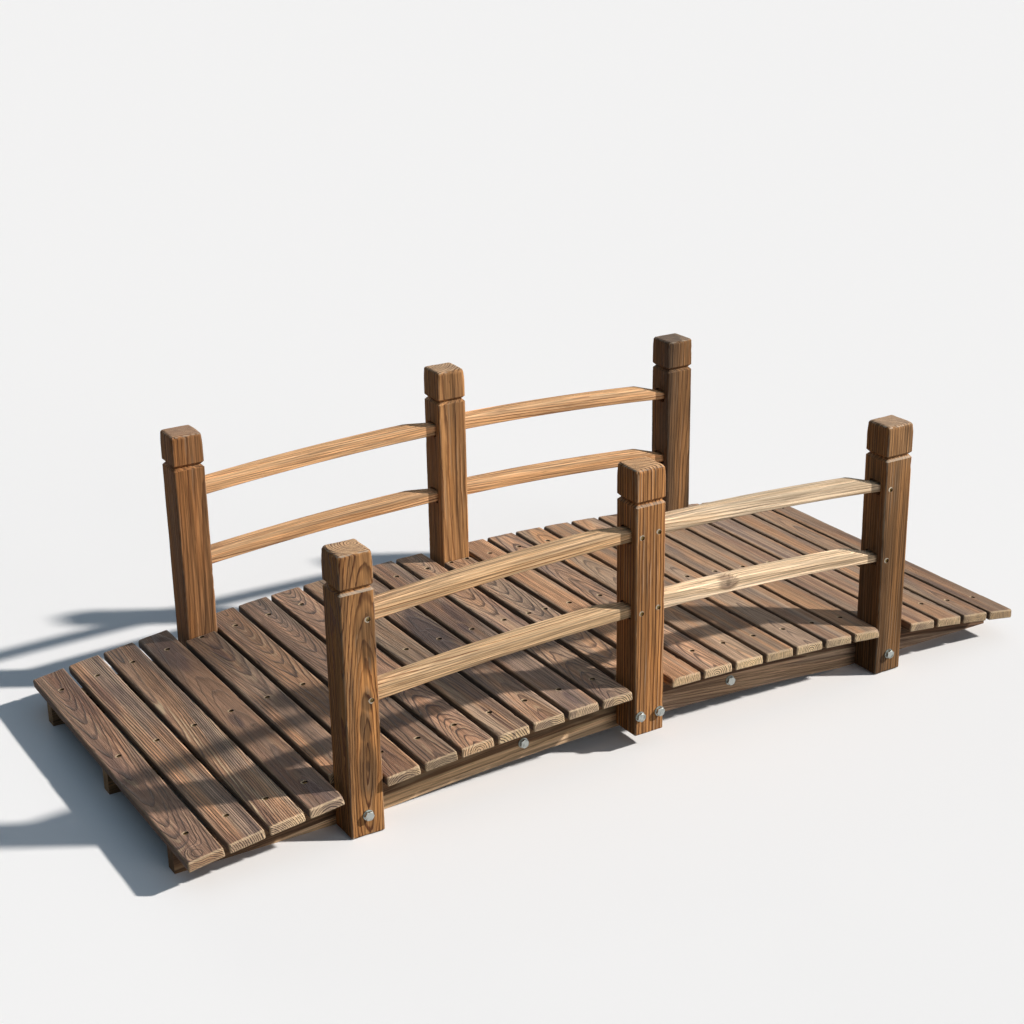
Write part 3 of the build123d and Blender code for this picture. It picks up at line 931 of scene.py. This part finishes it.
# Fasteners are grown on points by Geometry Nodes. A point's facing says which way its head looks.
metalTones = {
    "zinc": {"Clean": tint(176, 180, 176), "Dull": tint(104, 108, 102)},
    "yellowZinc": {"Clean": tint(160, 136, 88), "Dull": tint(64, 50, 34)},
}


def metalPattern(tree, given):
    spangle = cloud(given["Place"], (420, 420, 420), given["Seed"], 3.0)
    grime = band(cloud(given["Place"], (160, 160, 160), given["Seed"], 4.0), 0.45, 0.7)
    colour = blend(times(grime, 0.7), given["Clean"], given["Dull"])
    roughness = timesPlus(spangle, 0.3, timesPlus(grime, 0.2, 0.2))
    return {"Colour": colour, "Roughness": roughness, "Height": spangle}


def metalMaterial(name, group):
    material, tree, shader = newMaterial(name)
    place = addNode(tree, "ShaderNodeTexCoord").outputs["Object"]
    skin = useGroup(tree, group, {"Place": place, **metalTones[name]})
    dress(shader, skin["Colour"], skin, 0.08)
    shader["Metallic"].default_value = 1.0
    return material


def raised(shape, height):
    return made("GeometryNodeTransform", {"Geometry": shape, "Translation": vectorOf(z=height)})


def standOnPoints(tree, given, shape):
    facing = addNode(tree, "GeometryNodeInputNamedAttribute", {"Name": "facing"}, data_type="FLOAT_VECTOR")
    facing = socketNamed(facing.outputs, "Attribute")
    upright = made("FunctionNodeAlignRotationToVector", {"Vector": facing}, axis="Z")
    turnFeeds = {"Max": math.tau, "Seed": given["Turn Seed"]}
    turn = addNode(tree, "FunctionNodeRandomValue", turnFeeds, data_type="FLOAT")
    turn = socketNamed(turn.outputs, "Value")
    spin = made("FunctionNodeAxisAngleToRotation", {"Axis": (0, 0, 1), "Angle": turn})
    feeds = {"Rotation": upright, "Rotate By": spin}
    turned = made("FunctionNodeRotateRotation", feeds, rotation_space="LOCAL")
    feeds = {"Points": given["Geometry"], "Instance": shape, "Rotation": turned}
    return made("GeometryNodeInstanceOnPoints", feeds)


screwInputs = {
    "Head Radius": 0.0036,
    "Head Height": 0.0011,
    "Slot Length": 0.0042,
    "Slot Width": 0.0009,
    "Slot Depth": 0.0008,
    "Turn Seed": 5,
}


def screwHeads(tree, given):
    radius, height = given["Head Radius"], given["Head Height"]
    feeds = {"Vertices": 16, "Radius Top": radius, "Radius Bottom": times(radius, 0.82), "Depth": height}
    head = made("GeometryNodeMeshCone", feeds, fill_type="NGON")
    head = raised(head, times(height, -1.0))
    long, wide, deep = given["Slot Length"], given["Slot Width"], times(given["Slot Depth"], 2.0)
    sizes = (vectorOf(long, wide, deep), vectorOf(wide, long, deep))
    slots = [made("GeometryNodeMeshCube", {"Size": size}) for size in sizes]
    return standOnPoints(tree, given, booleanShape("DIFFERENCE", head, *slots))


boltInputs = {
    "Across Flats": 0.013,
    "Head Height": 0.0054,
    "Washer Radius": 0.0082,
    "Washer Thickness": 0.0015,
    "Shank Radius": 0.004,
    "Grip": 0.0756,
    "Tail": 0.012,
    "Has Nut": True,
    "Turn Seed": 3,
}


def hexBolts(tree, given):
    washer, thick, head = given["Washer Radius"], given["Washer Thickness"], given["Head Height"]
    corner = divided(given["Across Flats"], math.sqrt(3))

    def disc(radius, height, bottom, vertices):
        shape = made("GeometryNodeMeshCylinder", {"Vertices": vertices, "Radius": radius, "Depth": height})
        return raised(shape, timesPlus(height, 0.5, bottom))

    crownRadius = times(given["Across Flats"], 0.47)
    skirtRadius = timesPlus(head, 1.75, crownRadius)
    feeds = {"Vertices": 36, "Radius Top": crownRadius, "Radius Bottom": skirtRadius, "Depth": head}
    bevelCone = raised(made("GeometryNodeMeshCone", feeds), thick)
    crown = booleanShape("INTERSECT", disc(corner, head, thick, 6), bevelCone)
    farSide = times(given["Grip"], -1.0)
    shankLength = plus(given["Grip"], given["Tail"])
    shank = disc(given["Shank Radius"], shankLength, minus(farSide, given["Tail"]), 18)
    nutSide = minus(farSide, thick)
    nut = disc(corner, head, minus(nutSide, head), 6)
    behind, whole = (addNode(tree, "GeometryNodeJoinGeometry") for join in range(2))
    for shape in (nut, disc(washer, thick, nutSide, 28)):
        feed(behind.inputs[0], shape)
    choice = addNode(tree, "GeometryNodeSwitch", {"Switch": given["Has Nut"]}, input_type="GEOMETRY")
    feed(socketNamed(choice.inputs, "True"), behind.outputs[0])
    for shape in (crown, disc(washer, thick, 0.0, 28), shank, choice.outputs[0]):
        feed(whole.inputs[0], shape)
    return standOnPoints(tree, given, whole.outputs[0])


metalInputs = {"Clean": [0.6, 0.6, 0.6, 1.0], "Dull": [0.3, 0.3, 0.3, 1.0]}
metalGroup = newPattern("metalSkin", metalInputs, metalPattern)
zinc, yellowZinc = (metalMaterial(name, metalGroup) for name in ("zinc", "yellowZinc"))
screwTree = newGrower("screwHeads", "Metal", screwInputs, screwHeads)
boltTree = newGrower("hexBolts", "Metal", boltInputs, hexBolts)

deckScrew = {"below": 2.3, "Head Radius": 0.0034, "Head Height": 0.0012}
railScrew = {"below": 1.9, "Head Radius": 0.0033, "Head Height": 0.0014, "Turn Seed": 8}
postBolt = {"belowDeck": 51.5, "pairX": 18.0, "proud": 0.05, "Grip": 0.0757}
crossBolt = {"belowDeck": 65.0, "x": 196.5, "proud": 0.05, "Grip": 0.022, "Tail": 0.044, "Has Nut": False}


def deckScrewPlaces():
    places = []
    for number in boardLooks:
        piece = boardPiece(f"deck_board_{number:02d}")
        turn = Euler(piece["turn"]).to_matrix()
        height = piece["half"][2] - deckScrew["below"] * mm
        for across, along in screwSpots(number):
            point = piece["middle"] + turn @ Vector((across * mm, along * mm, height))
            places.append((point, turn @ Vector((0, 0, 1))))
    return places


def outerFace(node, side):
    low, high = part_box(node)
    return low.y if side < 0 else high.y


def railScrewPlaces():
    places = []
    for postName in postLooks:
        side = -1 if postName.startswith("front") else 1
        y = outerFace("post_" + postName, side) - side * railScrew["below"] * mm
        places += [(Vector((x, y, z)), Vector((0, side, 0))) for x, z in railScrewSpots(postName)]
    return places


def boltPlaces(bolt, carrier, spots):  # spots hold x, and the x where the deck's height is taken
    places = []
    for row, side in (("front", -1), ("back", 1)):
        y = outerFace(carrier.format(row), side) + side * bolt["proud"] * mm
        heights = [deckHeight(at) - bolt["belowDeck"] * mm for x, at in spots]
        places += [(Vector((x, y, z)), Vector((0, side, 0))) for (x, at), z in zip(spots, heights)]
    return places


pairX, crossX = postBolt["pairX"] * mm, crossBolt["x"] * mm
endX = [middleAndSize("post_front_" + end)[0].x for end in ("left", "right")]
postSpots = [(-pairX, 0.0), (pairX, 0.0), *zip(endX, endX)]
crossSpots = [(-crossX, crossX), (crossX, crossX)]
growPiece("deckScrews", screwTree, deckScrewPlaces(), socketValues(deckScrew), yellowZinc)
growPiece("railScrews", screwTree, railScrewPlaces(), socketValues(railScrew), yellowZinc)
postBolts = boltPlaces(postBolt, "post_{}_middle", postSpots)
growPiece("postBolts", boltTree, postBolts, socketValues(postBolt), zinc)
crossBolts = boltPlaces(crossBolt, "beam_{}_left", crossSpots)
growPiece("crossBolts", boltTree, crossBolts, socketValues(crossBolt), zinc)
print("screws and bolts grown")

# Floor, background and light
stageLook = {
    "floor": tint(245, 241, 239),
    "floorBounce": tint(86, 85, 83),  # what the floor sends back to the bridge
    "floorHalf": 40.0,  # metres
    "floorDrop": 0.3,
    "background": tint(231, 231, 230),
    "sky": 0.095,
    "skyAbove": (0.5, 0.74, 1.0, 1.0),
    "skyBeside": (1.0, 0.95, 0.88, 1.0),
    "lamps": {  # where the light comes from, strength, how wide the lamp looks in degrees, colour
        "keyLight": ((0.72, -0.418, 0.554), 4.5, 2.6, (1.0, 0.98, 0.94)),
        "softLight": ((0.2, -0.15, 0.97), 0.42, 110.0, (0.5, 0.75, 1.0)),
        "lowLight": ((0.3, -0.93, 0.14), 0.8, 30.0, (1.0, 1.0, 1.0)),
        "backLight": ((0.15, 0.98, 0.08), 0.8, 25.0, (1.0, 0.96, 0.9)),
    },
}


def seenDirectly(tree):
    rays = addNode(tree, "ShaderNodeLightPath").outputs
    return reduce(larger, [rays[f"Is {kind} Ray"] for kind in ("Camera", "Glossy", "Transmission")])


def makeFloor():
    size, drop = stageLook["floorHalf"], stageLook["floorDrop"] * mm
    corners = [(-size, -size, -drop), (size, -size, -drop), (size, size, -drop), (-size, size, -drop)]
    floor = newPiece("floor", corners, [(0, 1, 2, 3)])
    material, tree, shader = newMaterial("floorPlain")
    feed(shader["Base Color"], blend(seenDirectly(tree), stageLook["floorBounce"], stageLook["floor"]))
    shader["Roughness"].default_value = 0.9
    shader["Specular IOR Level"].default_value = 0.0
    paint(floor, material)


def makeLamp(name, comesFrom, strength, angle, colour):
    lamp = bpy.data.lights.new(name, "SUN")
    lamp.energy = strength
    lamp.angle = math.radians(angle)
    lamp.color = colour
    placeObject(name, lamp).rotation_euler = Vector(comesFrom).to_track_quat("Z", "Y").to_euler()


def makeWorld():
    world = bpy.data.worlds.new("studio")
    world.use_nodes = True
    tree = world.node_tree
    tree.nodes.clear()
    height = axesOf(addNode(tree, "ShaderNodeTexCoord").outputs["Generated"])["Z"]
    skyTone = blend(band(height, 0.1, 0.8), stageLook["skyBeside"], stageLook["skyAbove"])
    fill = addNode(tree, "ShaderNodeBackground", {"Color": skyTone, "Strength": stageLook["sky"]})
    seen = addNode(tree, "ShaderNodeBackground", {"Color": stageLook["background"], "Strength": 1.0})
    mix = addNode(tree, "ShaderNodeMixShader", {"Fac": seenDirectly(tree)})
    feed(mix.inputs[1], fill.outputs[0])
    feed(mix.inputs[2], seen.outputs[0])
    addNode(tree, "ShaderNodeOutputWorld", {"Surface": mix.outputs[0]})
    bpy.context.scene.world = world


makeFloor()
for lampName, settings in stageLook["lamps"].items():
    makeLamp(lampName, *settings)
makeWorld()
print("floor and lights made")

# Camera, fitted to the photograph's view
cameraLook = {
    "place": (-1.4959, -2.4282, 1.3832),
    "turn": (68.978, 0.949, -31.210),  # degrees
    "lens": 65.476,
    "sensor": 36.0,
}
cameraData = bpy.data.cameras.new("camera")
cameraData.lens = cameraLook["lens"]
cameraData.sensor_width = cameraLook["sensor"]
camera = placeObject("camera", cameraData)
camera.location = cameraLook["place"]
camera.rotation_euler = [math.radians(part) for part in cameraLook["turn"]]
bpy.context.scene.camera = camera
bpy.context.scene.view_settings.view_transform = "Standard"
print("camera set")
